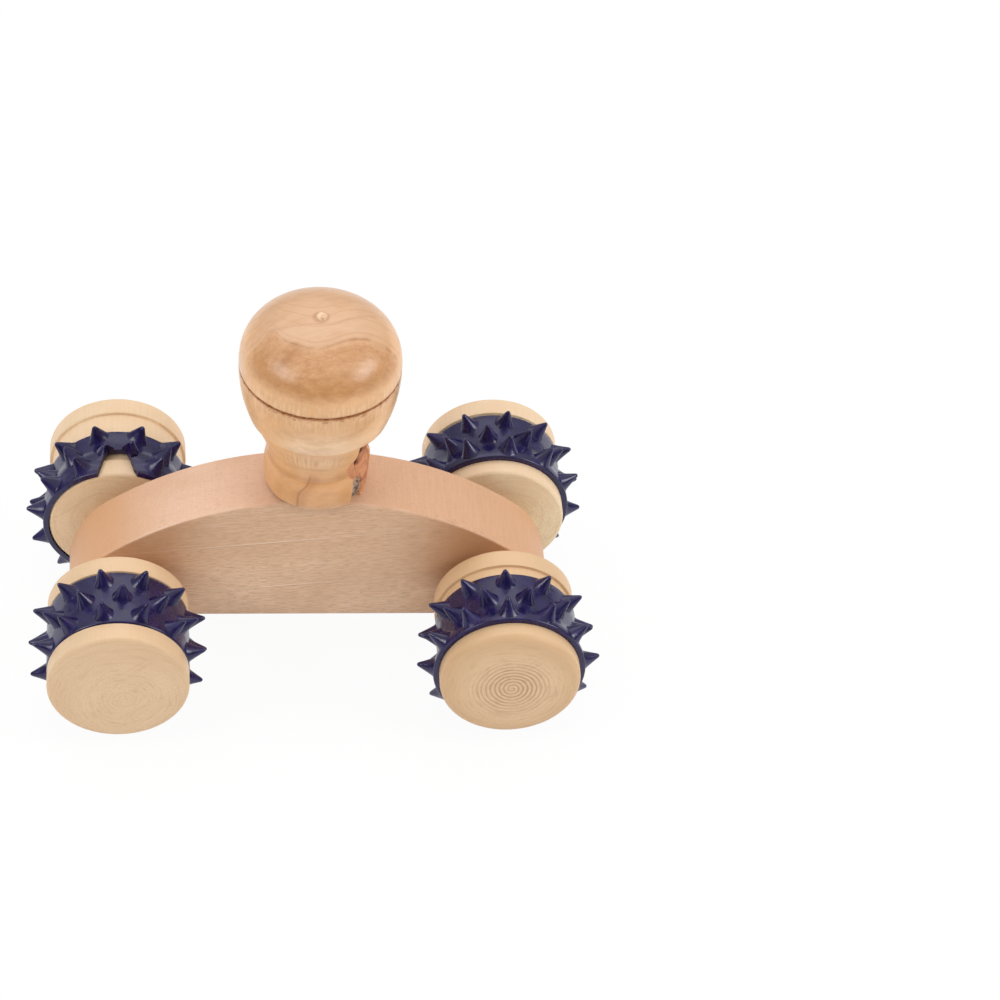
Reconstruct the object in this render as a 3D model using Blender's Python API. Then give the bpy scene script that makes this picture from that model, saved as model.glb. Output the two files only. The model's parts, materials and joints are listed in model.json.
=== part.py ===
"""Four-wheel massage roller: an arched wooden block on two turning axles, with a palm knob on its crown.

Metres, +Z up. X runs along the block, Y along the axles, and z = 0 is the surface that the spikes stand on.
Distances "out" run along an axle from the block's middle plane, and angles round a wheel start at its top.
"""

import math
from collections import namedtuple

import bmesh
import bpy
from mathutils import Matrix, Vector

MM = 0.001

# Fits between the pieces
GLUE_GAP = 0.2 * MM
RUNNING_GAP = 0.35 * MM
SEAT_GAP = 0.3 * MM
END_GAP = 0.5 * MM

# Arched block, sawn from a plank
BLOCK_LENGTH = 138.5 * MM
BLOCK_THICKNESS = 21.4 * MM
BLOCK_HEIGHT = 46.2 * MM
BLOCK_BELOW_AXLE = 10.4 * MM
ARCH_RADIUS = 93.0 * MM
SHOULDER_RADIUS = 28.6 * MM
BLOCK_EDGE = 0.8 * MM
ARCH_STEPS = 10
SHOULDER_STEPS = 8

# Axles and the hubs glued on their ends
WHEELBASE = 110.5 * MM
AXLE_RADIUS = 4.0 * MM
AXLE_LENGTH = 71.4 * MM
DOWEL_CHAMFER = 0.8 * MM
HUB_IN = 16.0 * MM
HUB_OUT = 48.4 * MM
FLANGE_RADIUS = 20.0 * MM
FLANGE_WIDTH = 6.2 * MM
FLANGE_ROUND = 1.0 * MM
WORN_ROUND = 2.4 * MM
DRUM_RADIUS = 18.4 * MM
BOSS_RADIUS = 8.0 * MM
BOSS_GAP = 0.6 * MM

# Spiked rubber tyres, stretched over the drums
TYRE_WIDTH = 19.2 * MM
TYRE_THICKNESS = 1.5 * MM
TYRE_EDGE = 0.4 * MM
TYRE_RAMP = 6.0 * MM
LIP_CLEARANCE = 0.2 * MM
SPIKES_PER_ROW = 12
ROW_PITCH = 6.2 * MM
SPIKE_HEIGHT = 5.2 * MM
SPIKE_BASE_RADIUS = 3.0 * MM
SPIKE_TIP_RADIUS = 0.4 * MM
SPIKE_SUNK = 0.6 * MM

# Opened seam of the tyre that has slipped over its inner flange
SEAM_MOUTH = math.radians(16.4)
SEAM_FLOOR = math.radians(7.0)
SEAM_DEPTH = 9.4 * MM
SEAM_BEYOND = 1.0 * MM
SEAM_HALF = math.radians(1.0)
SEAM_OPENING = (math.radians(14.5), math.radians(8.0), math.radians(1.5))
HALF_SPIKE_ANGLE = math.radians(9.5)
HALF_SPIKE_BACK = 1.1 * MM

# Palm knob and the dowel that holds it
KNOB_FOOT_RADIUS = 15.1 * MM
KNOB_FOOT_BULGE = 1.0 * MM
KNOB_FOOT_HEIGHT = 10.6 * MM
KNOB_COVE_RADIUS = 14.4 * MM
KNOB_COVE_TOP = 16.4 * MM
KNOB_COVE_TOP_RADIUS = 14.9 * MM
KNOB_FLARE_START = 16.8 * MM
KNOB_FLARE_RADIUS = 15.3 * MM
KNOB_FLARE_TOP = 26.2 * MM
KNOB_FLARE_TOP_RADIUS = 18.9 * MM
KNOB_CUP_START = 26.8 * MM
KNOB_CUP_RADIUS = 19.8 * MM
KNOB_RADIUS = 22.6 * MM
KNOB_GROOVE_HEIGHT = 43.3 * MM
KNOB_GROOVE_DEPTH = 0.6 * MM
KNOB_GROOVE_HALF = 0.5 * MM
KNOB_HEIGHT = 60.5 * MM
DOME_POWER = 2.4
NUB_RADIUS = 1.5 * MM
NUB_HEIGHT = 0.9 * MM
NUB_TOP_RADIUS = 1.2 * MM
KNOB_DOWEL_RADIUS = 5.0 * MM
KNOB_DOWEL_IN_BLOCK = 17.0 * MM
KNOB_DOWEL_IN_KNOB = 20.0 * MM

# How finely the round pieces are faceted
TURNED_STEPS = 32
DOWEL_STEPS = 20
SPIKE_STEPS = 8
SHARP_ANGLE = math.radians(35)
MERGE_DISTANCE = 0.001 * MM

# Places worked out from the sizes above
CROWN = BLOCK_HEIGHT - BLOCK_BELOW_AXLE
HUB_MIDDLE = (HUB_IN + HUB_OUT) / 2
BOSS_END = BLOCK_THICKNESS / 2 + BOSS_GAP
GROOVE_OUT = HUB_OUT - FLANGE_WIDTH
X_AXIS = Vector((1, 0, 0))
Y_AXIS = Vector((0, 1, 0))
Z_AXIS = Vector((0, 0, 1))

# side_x and side_y place a wheel. Its hub's inner flange lies reach nearer to the block than usual, and its
# face is rounded by face_round. Its tyre sits shift further out than a hub's middle and is turned by turn.
Wheel = namedtuple("Wheel", "name side_x side_y reach face_round shift turn split")
WHEELS = (
    Wheel("front_left", -1, -1, 0.0 * MM, FLANGE_ROUND, 0.1 * MM, math.radians(18.4), False),
    Wheel("front_right", 1, -1, 2.0 * MM, WORN_ROUND, 1.1 * MM, math.radians(26.2), False),
    Wheel("rear_left", -1, 1, -0.4 * MM, FLANGE_ROUND, -6.3 * MM, math.radians(15.0), True),
    Wheel("rear_right", 1, 1, -1.2 * MM, FLANGE_ROUND, -0.5 * MM, math.radians(8.0), False),
)


def clear_scene():
    for item in list(bpy.data.objects):
        bpy.data.objects.remove(item, do_unlink=True)


def finish_material(name, colour, roughness):
    """Plain shader with the piece's colour."""
    material = bpy.data.materials.new(name)
    material.use_nodes = True
    shader = material.node_tree.nodes["Principled BSDF"]
    shader.inputs["Base Color"].default_value = (*colour, 1.0)
    shader.inputs["Roughness"].default_value = roughness
    shader.inputs["Metallic"].default_value = 0.0
    return material


def add_object(name, shape, material=None, parent=None):
    """Turn a bmesh into a named object. An object without a material only shapes its neighbours."""
    bmesh.ops.recalc_face_normals(shape, faces=shape.faces)
    mesh = bpy.data.meshes.new(name)
    shape.to_mesh(mesh)
    shape.free()
    mesh.shade_smooth()
    mesh.set_sharp_from_angle(angle=SHARP_ANGLE)
    item = bpy.data.objects.new(name, mesh)
    bpy.context.scene.collection.objects.link(item)
    item.parent = parent
    if material:
        mesh.materials.append(material)
    else:
        item.hide_render = True
        item.display_type = "WIRE"
    return item


def add_boolean(item, operation, tool):
    modifier = item.modifiers.new(tool.name, "BOOLEAN")
    modifier.operation = operation
    modifier.solver = "EXACT"
    modifier.object = tool


def turned(outline, axis, steps, ring=False):
    """Spin an outline of (distance along the axis, radius) points. A ring's outline closes on itself."""
    shape = bmesh.new()
    points = [shape.verts.new(axis * along + X_AXIS * radius) for along, radius in outline]
    pairs = list(zip(points, points[1:]))
    if ring:
        pairs.append((points[-1], points[0]))
    edges = [shape.edges.new(pair) for pair in pairs]
    bmesh.ops.spin(shape, geom=points + edges, axis=axis, angle=math.tau, steps=steps, use_merge=True)
    bmesh.ops.remove_doubles(shape, verts=shape.verts, dist=MERGE_DISTANCE)
    return shape


def dowel(low, high, radius):
    """Outline of a round dowel with chamfered ends."""
    return [
        (low, 0),
        (low, radius - DOWEL_CHAMFER),
        (low + DOWEL_CHAMFER, radius),
        (high - DOWEL_CHAMFER, radius),
        (high, radius - DOWEL_CHAMFER),
        (high, 0),
    ]


def cylinder(low, high, radius, axis):
    """Plain cylinder along an axis, for boring holes."""
    return turned([(low, 0), (low, radius), (high, radius), (high, 0)], axis, DOWEL_STEPS)


def block_outline():
    """Arch, shoulders, end walls and flat underside as (x, z) points, with z from the axles' height."""
    arch_centre = CROWN - ARCH_RADIUS
    shoulder_x = BLOCK_LENGTH / 2 - SHOULDER_RADIUS
    shoulder_z = arch_centre + math.sqrt((ARCH_RADIUS - SHOULDER_RADIUS) ** 2 - shoulder_x**2)
    meeting = math.atan2(shoulder_x, shoulder_z - arch_centre)
    half = []
    for step in range(1, ARCH_STEPS + 1):
        angle = meeting * step / ARCH_STEPS
        half.append((ARCH_RADIUS * math.sin(angle), arch_centre + ARCH_RADIUS * math.cos(angle)))
    for step in range(1, SHOULDER_STEPS + 1):
        angle = meeting + (math.pi / 2 - meeting) * step / SHOULDER_STEPS
        x = shoulder_x + SHOULDER_RADIUS * math.sin(angle)
        half.append((x, shoulder_z + SHOULDER_RADIUS * math.cos(angle)))
    half.append((BLOCK_LENGTH / 2, -BLOCK_BELOW_AXLE))
    mirrored = [(-x, z) for x, z in reversed(half)]
    return mirrored + [(0, CROWN)] + half


def make_block(material, axle_height):
    """Plank with the arched outline, bored across for the axles and from its crown for the knob's dowel."""
    shape = bmesh.new()
    front = [shape.verts.new((x, -BLOCK_THICKNESS / 2, z)) for x, z in block_outline()]
    face = shape.faces.new(front)
    sides = bmesh.ops.extrude_face_region(shape, geom=[face])
    back = [part for part in sides["geom"] if isinstance(part, bmesh.types.BMVert)]
    bmesh.ops.translate(shape, verts=back, vec=Y_AXIS * BLOCK_THICKNESS)
    block = add_object("body", shape, material)
    block.location = Z_AXIS * axle_height

    edges = block.modifiers.new("eased_edges", "BEVEL")
    edges.width = BLOCK_EDGE
    edges.segments = 2
    edges.limit_method = "ANGLE"
    edges.angle_limit = SHARP_ANGLE

    for side in (-1, 1):
        bore = add_object("axle_bore", cylinder(-HUB_IN, HUB_IN, AXLE_RADIUS + RUNNING_GAP, Y_AXIS))
        bore.location = (side * WHEELBASE / 2, 0, axle_height)
        add_boolean(block, "DIFFERENCE", bore)
    floor = CROWN - KNOB_DOWEL_IN_BLOCK - END_GAP
    hole = add_object("dowel_hole", cylinder(floor, 2 * CROWN, KNOB_DOWEL_RADIUS + GLUE_GAP, Z_AXIS))
    hole.location = Z_AXIS * axle_height
    add_boolean(block, "DIFFERENCE", hole)


def knob_outline():
    """Blind dowel hole, bead foot, cove, flared neck, cup, V groove, flattened dome and the lathe's nub."""
    hole_radius = KNOB_DOWEL_RADIUS + GLUE_GAP
    hole_top = KNOB_DOWEL_IN_KNOB + END_GAP
    outline = [(hole_top, 0), (hole_top, hole_radius), (0, hole_radius)]

    foot_steps = 5
    for step in range(foot_steps + 1):
        offset = 2 * step / foot_steps - 1
        height = KNOB_FOOT_HEIGHT * step / foot_steps
        outline.append((height, KNOB_FOOT_RADIUS - KNOB_FOOT_BULGE * offset**4))
    outline.append((KNOB_FOOT_HEIGHT, KNOB_COVE_RADIUS))
    outline.append(((KNOB_FOOT_HEIGHT + KNOB_COVE_TOP) / 2, KNOB_COVE_RADIUS))
    outline.append((KNOB_COVE_TOP, KNOB_COVE_TOP_RADIUS))
    outline.append((KNOB_FLARE_START, KNOB_FLARE_RADIUS))
    outline.append((KNOB_FLARE_TOP, KNOB_FLARE_TOP_RADIUS))

    cup_steps = 4
    cup_height = KNOB_GROOVE_HEIGHT - KNOB_GROOVE_HALF - KNOB_CUP_START
    for step in range(cup_steps + 1):
        share = step / cup_steps
        radius = KNOB_RADIUS - (KNOB_RADIUS - KNOB_CUP_RADIUS) * (1 - share) ** 2
        outline.append((KNOB_CUP_START + cup_height * share, radius))
    outline.append((KNOB_GROOVE_HEIGHT, KNOB_RADIUS - KNOB_GROOVE_DEPTH))

    dome_steps = 7
    dome_start = KNOB_GROOVE_HEIGHT + KNOB_GROOVE_HALF
    for step in range(dome_steps):
        angle = math.pi / 2 * step / dome_steps
        radius = KNOB_RADIUS * math.cos(angle) ** (2 / DOME_POWER)
        height = dome_start + (KNOB_HEIGHT - dome_start) * math.sin(angle) ** (2 / DOME_POWER)
        outline.append((height, radius))
    outline.append((KNOB_HEIGHT, NUB_RADIUS))
    outline.append((KNOB_HEIGHT + NUB_HEIGHT, NUB_TOP_RADIUS))
    outline.append((KNOB_HEIGHT + NUB_HEIGHT, 0))
    return outline


def make_knob(knob_material, dowel_material, axle_height):
    knob = add_object("knob", turned(knob_outline(), Z_AXIS, TURNED_STEPS), knob_material)
    knob.location = Z_AXIS * (axle_height + CROWN + SEAT_GAP)
    pin = dowel(-KNOB_DOWEL_IN_BLOCK, KNOB_DOWEL_IN_KNOB, KNOB_DOWEL_RADIUS)
    pin_object = add_object("knob_dowel", turned(pin, Z_AXIS, DOWEL_STEPS), dowel_material)
    pin_object.location = Z_AXIS * (axle_height + CROWN)


def groove_start(wheel):
    """Distance out at which the groove for the tyre starts."""
    return HUB_IN - wheel.reach + FLANGE_WIDTH


def hub_outline(wheel):
    """Blind axle hole, boss, rounded inner flange, drum and rounded outer flange."""
    hole_radius = AXLE_RADIUS + GLUE_GAP
    hole_end = AXLE_LENGTH / 2 + END_GAP
    cut = 1 - math.sqrt(0.5)
    inner_cut = FLANGE_ROUND * cut
    outer_cut = wheel.face_round * cut
    hub_in = HUB_IN - wheel.reach
    return [
        (hole_end, 0),
        (hole_end, hole_radius),
        (BOSS_END, hole_radius),
        (BOSS_END, BOSS_RADIUS),
        (hub_in, BOSS_RADIUS),
        (hub_in, FLANGE_RADIUS - FLANGE_ROUND),
        (hub_in + inner_cut, FLANGE_RADIUS - inner_cut),
        (hub_in + FLANGE_ROUND, FLANGE_RADIUS),
        (groove_start(wheel), FLANGE_RADIUS),
        (groove_start(wheel), DRUM_RADIUS),
        (GROOVE_OUT, DRUM_RADIUS),
        (GROOVE_OUT, FLANGE_RADIUS),
        (HUB_OUT - wheel.face_round, FLANGE_RADIUS),
        (HUB_OUT - outer_cut, FLANGE_RADIUS - outer_cut),
        (HUB_OUT, FLANGE_RADIUS - wheel.face_round),
        (HUB_OUT, 0),
    ]


def tyre_line(wheel):
    """(out, hub radius) under a tyre. A tyre that has slipped ramps up from the drum onto a flange."""
    start = HUB_MIDDLE - TYRE_WIDTH / 2 + wheel.shift
    end = start + TYRE_WIDTH
    if start < groove_start(wheel):
        lip = groove_start(wheel) + LIP_CLEARANCE
        flange_part = [(start, FLANGE_RADIUS), (lip, FLANGE_RADIUS)]
        return flange_part + [(lip + TYRE_RAMP, DRUM_RADIUS), (end, DRUM_RADIUS)]
    if end > GROOVE_OUT:
        lip = GROOVE_OUT - LIP_CLEARANCE
        drum_part = [(start, DRUM_RADIUS), (lip - TYRE_RAMP, DRUM_RADIUS)]
        return drum_part + [(lip, FLANGE_RADIUS), (end, FLANGE_RADIUS)]
    return [(start, DRUM_RADIUS), (end, DRUM_RADIUS)]


def inside_radius(hub_radius):
    """Corner radius of a faceted ring whose flats clear a hub of the given radius."""
    return (hub_radius + GLUE_GAP) / math.cos(math.pi / TURNED_STEPS)


def tyre_surface(line, out):
    """Radius of a tyre's outer surface at a distance out."""
    for (low, low_radius), (high, high_radius) in zip(line, line[1:]):
        if out <= high:
            share = max(0.0, (out - low) / (high - low))
            return inside_radius(low_radius + (high_radius - low_radius) * share) + TYRE_THICKNESS
    return inside_radius(line[-1][1]) + TYRE_THICKNESS


def spike_places(wheel):
    """(angle, out) of each spike. The middle row stands half a step on; an open seam pushes spikes apart."""
    step = math.tau / SPIKES_PER_ROW
    places = []
    for row, opening in zip((-1, 0, 1), SEAM_OPENING):
        out = HUB_MIDDLE + wheel.shift + row * ROW_PITCH
        for count in range(SPIKES_PER_ROW):
            angle = wheel.turn + (count + (0.5 if row == 0 else 0.0)) * step
            angle = math.remainder(angle, math.tau)
            on_seam = wheel.split and abs(angle) < SEAM_HALF
            if on_seam:
                places.append((HALF_SPIKE_ANGLE, out - HALF_SPIKE_BACK))
                places.append((-HALF_SPIKE_ANGLE, out - HALF_SPIKE_BACK))
                continue
            if wheel.split:
                angle += math.copysign(opening * (1 - abs(angle) / math.pi), angle)
            places.append((angle, out))
    return places


def wheel_point(wheel, angle, out, radius):
    """Point by its angle from the wheel's top, its distance out and its radius, from the axle's middle."""
    return Vector((radius * math.sin(angle), wheel.side_y * out, radius * math.cos(angle)))


def spike_stand(wheel, line, angle, out):
    """Foot of a spike and the direction that it points in, square to the tyre's surface."""
    above = tyre_surface(line, out + SPIKE_BASE_RADIUS)
    below = tyre_surface(line, out - SPIKE_BASE_RADIUS)
    slope = math.atan2(above - below, 2 * SPIKE_BASE_RADIUS)
    radial = wheel_point(wheel, angle, 0, 1)
    outward = Y_AXIS * wheel.side_y
    foot = wheel_point(wheel, angle, out, (above + below) / 2)
    return foot, radial * math.cos(slope) - outward * math.sin(slope)


def spikes(wheel, line):
    """All the cones of one tyre, sunk a little into its band."""
    shape = bmesh.new()
    flare = (SPIKE_BASE_RADIUS - SPIKE_TIP_RADIUS) / SPIKE_HEIGHT
    for angle, out in spike_places(wheel):
        foot, direction = spike_stand(wheel, line, angle, out)
        middle = foot + direction * (SPIKE_HEIGHT - SPIKE_SUNK) / 2
        turn = direction.to_track_quat("Z", "Y").to_matrix().to_4x4()
        bmesh.ops.create_cone(
            shape,
            cap_ends=True,
            segments=SPIKE_STEPS,
            radius1=SPIKE_BASE_RADIUS + flare * SPIKE_SUNK,
            radius2=SPIKE_TIP_RADIUS,
            depth=SPIKE_HEIGHT + SPIKE_SUNK,
            matrix=Matrix.Translation(middle) @ turn,
        )
    return shape


def seam_gap(wheel, line):
    """Wedge that opens the seam: wide at the tyre's inner edge, blunt at its floor."""
    start = line[0][0]
    floor = start + SEAM_DEPTH
    edge = start - SEAM_BEYOND
    mouth = SEAM_MOUTH + (SEAM_MOUTH - SEAM_FLOOR) * SEAM_BEYOND / SEAM_DEPTH
    corners = ((-mouth, edge), (mouth, edge), (SEAM_FLOOR, floor), (-SEAM_FLOOR, floor))
    shape = bmesh.new()
    rings = []
    for radius in (DRUM_RADIUS - TYRE_THICKNESS, FLANGE_RADIUS + 2 * SPIKE_HEIGHT):
        rings.append([shape.verts.new(wheel_point(wheel, angle, out, radius)) for angle, out in corners])
    inner, outer = rings
    shape.faces.new(inner)
    shape.faces.new(outer)
    for index in range(len(corners)):
        after = (index + 1) % len(corners)
        shape.faces.new((inner[index], inner[after], outer[after], outer[index]))
    return shape


def make_tyre(wheel, material, parent):
    """Band that follows the hub, joined with its spikes, and cut where its seam has opened."""
    line = tyre_line(wheel)
    inner = [(out, inside_radius(radius)) for out, radius in line]
    outer = [(out, radius + TYRE_THICKNESS) for out, radius in inner]
    start, start_radius = outer[0]
    end, end_radius = outer[-1]
    outer[0] = (start, start_radius - TYRE_EDGE)
    outer.insert(1, (start + TYRE_EDGE, start_radius))
    outer[-1] = (end - TYRE_EDGE, end_radius)
    outer.append((end, end_radius - TYRE_EDGE))
    band = turned(inner + outer[::-1], Y_AXIS * wheel.side_y, TURNED_STEPS, ring=True)
    tyre = add_object(f"{wheel.name}_tyre", band, material, parent)
    add_boolean(tyre, "UNION", add_object(f"{wheel.name}_spikes", spikes(wheel, line), None, parent))
    if wheel.split:
        add_boolean(tyre, "DIFFERENCE", add_object(f"{wheel.name}_seam", seam_gap(wheel, line), None, parent))


def lowest_tip():
    """Height of the axles at which the lowest spike just meets z = 0."""
    depths = []
    for wheel in WHEELS:
        line = tyre_line(wheel)
        for angle, out in spike_places(wheel):
            foot, direction = spike_stand(wheel, line, angle, out)
            depths.append(-(foot + direction * SPIKE_HEIGHT).z)
    return max(depths)


def make_wheelset(name, side_x, axle_height, hub_material, axle_material, tyre_material):
    """Empty on the axle's line that carries the axle, its two hubs and their tyres."""
    spindle = bpy.data.objects.new(f"{name}_wheelset", None)
    bpy.context.scene.collection.objects.link(spindle)
    spindle.location = (side_x * WHEELBASE / 2, 0, axle_height)
    axle = dowel(-AXLE_LENGTH / 2, AXLE_LENGTH / 2, AXLE_RADIUS)
    add_object(f"{name}_axle", turned(axle, Y_AXIS, DOWEL_STEPS), axle_material, spindle)
    for wheel in WHEELS:
        if wheel.side_x == side_x:
            hub = turned(hub_outline(wheel), Y_AXIS * wheel.side_y, TURNED_STEPS)
            add_object(f"{wheel.name}_hub", hub, hub_material, spindle)
            make_tyre(wheel, tyre_material, spindle)


def main():
    clear_scene()
    block_wood = finish_material("block_wood", (0.62, 0.40, 0.26), 0.55)
    knob_wood = finish_material("knob_wood", (0.66, 0.39, 0.21), 0.30)
    hub_wood = finish_material("hub_wood", (0.72, 0.52, 0.33), 0.50)
    dowel_wood = finish_material("dowel_wood", (0.60, 0.42, 0.25), 0.60)
    rubber = finish_material("tyre_rubber", (0.028, 0.022, 0.090), 0.35)

    axle_height = lowest_tip()
    make_block(block_wood, axle_height)
    make_knob(knob_wood, dowel_wood, axle_height)
    make_wheelset("left", -1, axle_height, hub_wood, dowel_wood, rubber)
    make_wheelset("right", 1, axle_height, hub_wood, dowel_wood, rubber)


main()
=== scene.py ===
"""Looks of the four-wheel massage roller: turned and sawn wood, spiked rubber tyres, studio and camera.

Metres, in the frame of the solids. Distances "out" run along an axle from the block's middle plane.
Angles round a wheel start at its top and grow towards +X.
"""

import json
import math
import random
from collections import namedtuple

import bmesh
import bpy
from mathutils import Matrix, Vector
from mathutils import noise as value_noise


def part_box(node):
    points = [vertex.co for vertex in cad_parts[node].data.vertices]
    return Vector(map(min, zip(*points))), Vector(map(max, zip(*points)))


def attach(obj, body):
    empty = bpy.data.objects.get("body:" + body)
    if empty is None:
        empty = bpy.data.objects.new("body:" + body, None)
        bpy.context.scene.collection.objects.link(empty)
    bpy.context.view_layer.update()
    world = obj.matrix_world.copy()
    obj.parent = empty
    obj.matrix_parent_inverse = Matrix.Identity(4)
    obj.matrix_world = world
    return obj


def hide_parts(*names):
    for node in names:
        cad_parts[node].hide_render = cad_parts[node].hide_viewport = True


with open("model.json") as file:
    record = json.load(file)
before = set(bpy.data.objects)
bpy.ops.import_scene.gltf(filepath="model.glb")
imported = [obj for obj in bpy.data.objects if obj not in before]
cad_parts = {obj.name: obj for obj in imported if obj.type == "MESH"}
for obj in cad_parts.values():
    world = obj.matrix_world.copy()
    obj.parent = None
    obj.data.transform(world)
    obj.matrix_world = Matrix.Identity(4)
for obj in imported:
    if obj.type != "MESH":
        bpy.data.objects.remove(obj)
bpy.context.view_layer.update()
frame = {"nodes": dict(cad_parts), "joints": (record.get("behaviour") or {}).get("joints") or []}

MM = 0.001
X_AXIS = Vector((1, 0, 0))
Y_AXIS = Vector((0, 1, 0))
Z_AXIS = Vector((0, 0, 1))

# Places read from the frame
AXLES = {joint["child"]: Vector(joint["pos_m"]) for joint in frame["joints"]}
AXLE_HEIGHT = AXLES["left_wheelset"].z
BLOCK_LOW, BLOCK_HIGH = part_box("body")
KNOB_LOW, KNOB_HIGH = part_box("knob")
HUB_LOW, HUB_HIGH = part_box("rear_right_hub")

# Arched block
ARCH_RADIUS = 93.0 * MM
SHOULDER_RADIUS = 28.6 * MM
BLOCK_EDGE = 0.9 * MM
AXLE_BORE_RADIUS = 4.35 * MM
DOWEL_HOLE_RADIUS = 5.2 * MM
DOWEL_HOLE_DEPTH = 17.5 * MM
HOLE_STEPS = 48
GRAIN_TILT = math.radians(6.4)
# Long pale lines on the front, along the grain: height at the middle, place and half length in millimetres
SCRATCHES = ((2.9, -15.0, 22.0), (20.9, -4.0, 30.0))

# Hubs
FLANGE_RADIUS = (HUB_HIGH.x - HUB_LOW.x) / 2
FLANGE_WIDTH = 6.2 * MM
FLANGE_ROUND = 0.9 * MM
WORN_ROUND = 2.3 * MM
GROOVE_ROUND = 0.25 * MM
DRUM_RADIUS = 18.4 * MM
# Bare ends of the drum, beside the tyre
BARE_DRUM_RADIUS = 19.1 * MM
BARE_DRUM_GAP = 0.15 * MM
BARE_DRUM_LEAST = 1.0 * MM
BOSS_RADIUS = 8.0 * MM
BOSS_END = HUB_LOW.y
HUB_IN = 16.0 * MM
HUB_OUT = HUB_HIGH.y
HUB_HOLE_RADIUS = 4.2 * MM
HUB_HOLE_END = 36.2 * MM
LATHE_PITCH = 1.25 * MM
GROOVE_OUT = HUB_OUT - FLANGE_WIDTH

# Tyres
TYRE_GAP = 0.1 * MM
TYRE_THICKNESS = 1.62 * MM
TYRE_EDGE = 0.45 * MM
TYRE_EDGE_TURNS = [math.radians(angle) for angle in (30, 60, 90)]
TYRE_RAMP = 6.0 * MM
LIP_CLEARANCE = 0.2 * MM
TIP_CLEARANCE = 0.12 * MM
ROWS = 3
SPIKES_PER_ROW = 12
ROW_PITCH = 6.2 * MM
SPIKE_HEIGHT = 5.12 * MM
# Radius of a spike and its height there in millimetres, from the foot to just under the tip
SPIKE_POINTS = (
    (2.95, 0.00), (2.58, 0.42), (2.00, 1.55), (1.42, 2.80),
    (0.94, 3.90), (0.71, 4.45), (0.52, 4.82), (0.27, 5.06),
)
SPIKE_OUTLINE = [(radius * MM, height * MM) for radius, height in SPIKE_POINTS]
# Most that a spike leans, as a share of its height, and the least height it may have
SPIKE_LEAN = 0.04
SPIKE_LEAST = 0.97
CELL_STEPS_ROUND = 6
CELL_STEPS_ALONG = 4
INSIDE_STEPS = 12

# Opened seam of the tyre that has slipped over its inner flange
SEAM_MOUTH = math.radians(16.4)
SEAM_FLOOR = math.radians(7.0)
SEAM_DEPTH = 9.4 * MM
SEAM_OPENING = (math.radians(14.5), math.radians(8.0), math.radians(1.5))
SEAM_EASE = math.radians(10.0)
# The two halves of the spike on the seam: angle from the wheel's top, and share of a whole spike's height
HALF_SPIKES = ((math.radians(-9.5), 0.55), (math.radians(9.5), 0.85))
HALF_SPIKE_BACK = 1.1 * MM
HALF_SPIKE_ROOT = 0.6 * MM
HALF_SPIKE_STEPS = 24
SPLIT_EDGE_BACK = 1.2 * MM

# Palm knob
KNOB_FOOT_RADIUS = 15.1 * MM
KNOB_FOOT_BULGE = 1.0 * MM
KNOB_FOOT_HEIGHT = 10.6 * MM
COVE_RADIUS = 14.3 * MM
COVE_TOP = 16.4 * MM
COVE_TOP_RADIUS = 14.9 * MM
FLARE_START = 16.8 * MM
FLARE_RADIUS = 15.3 * MM
FLARE_TOP = 26.2 * MM
FLARE_TOP_RADIUS = 18.9 * MM
CUP_START = 26.8 * MM
CUP_RADIUS = 19.8 * MM
KNOB_RADIUS = (KNOB_HIGH.x - KNOB_LOW.x) / 2
KNOB_GROOVE_HEIGHT = 43.3 * MM
KNOB_GROOVE_DEPTH = 0.8 * MM
KNOB_GROOVE_HALF = 0.5 * MM
NUB_RADIUS = 1.5 * MM
NUB_HEIGHT = 0.9 * MM
# Height over the dome and radius, as shares of the nub's
NUB_OUTLINE = ((0.0, 1.1), (0.25, 1.0), (0.7, 0.9), (0.95, 0.6), (0.95, 0.0))
KNOB_HEIGHT = KNOB_HIGH.z - KNOB_LOW.z - NUB_HEIGHT
DOME_POWER = 2.4
FOOT_STEPS = 30
COVE_STEPS = 14
FLARE_STEPS = 26
CUP_STEPS = 40
DOME_STEPS = 56
KNOB_HOLE_RADIUS = 5.2 * MM
KNOB_HOLE_DEPTH = 20.5 * MM
KNOB_STEPS = 192
# The knob leans a little: it stands off to the right at its foot and over the middle at its top
KNOB_FOOT_SHIFT = 0.9 * MM
KNOB_TOP_SHIFT = 0.30 * MM

# Pocket of bark on the knob's right side: angle from the front in degrees at heights in millimetres
BARK_EDGE = ((0, 39), (6, 40), (9, 41), (10.5, 35), (14, 33), (16, 37), (18, 42), (22, 39), (27, 36))
BARK_FAR_EDGE = ((0, 98), (16, 98), (21, 75), (27, 44))
BARK_TOP = 26.5
BARK_DEPTH = 0.8 * MM
# Degrees and millimetres over which the bark fades out
BARK_EDGE_FADE = 3
BARK_FAR_FADE = 8
BARK_TOP_FADE = 1.5
BARK_FOOT_FADE = 0.8
PITH_MIDDLE = (50.0, 2.6)
PITH_HALF = (10.0, 5.4)
PITH_DEPTH = 1.5 * MM
CRACK_LINE = ((11.5, 51.0), (18.5, 48.5), (21.5, 47.5), (26.0, 44.0))
CRACK_HALF = 6.0
CRACK_DEPTH = 1.2 * MM

# Roughness of the knob: size of its lumps, and how far they move the surface
LUMP_SIZE = 1.1 * MM
NUB_ROUGH = 0.18
BARK_ROUGH = 0.2 * MM
PITH_ROUGH = 0.45 * MM
COVE_ROUGH = 0.3 * MM
GROOVE_ROUGH = 0.12 * MM

TURNED_STEPS = 128
SMOOTH_ANGLE = math.radians(32)

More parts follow.
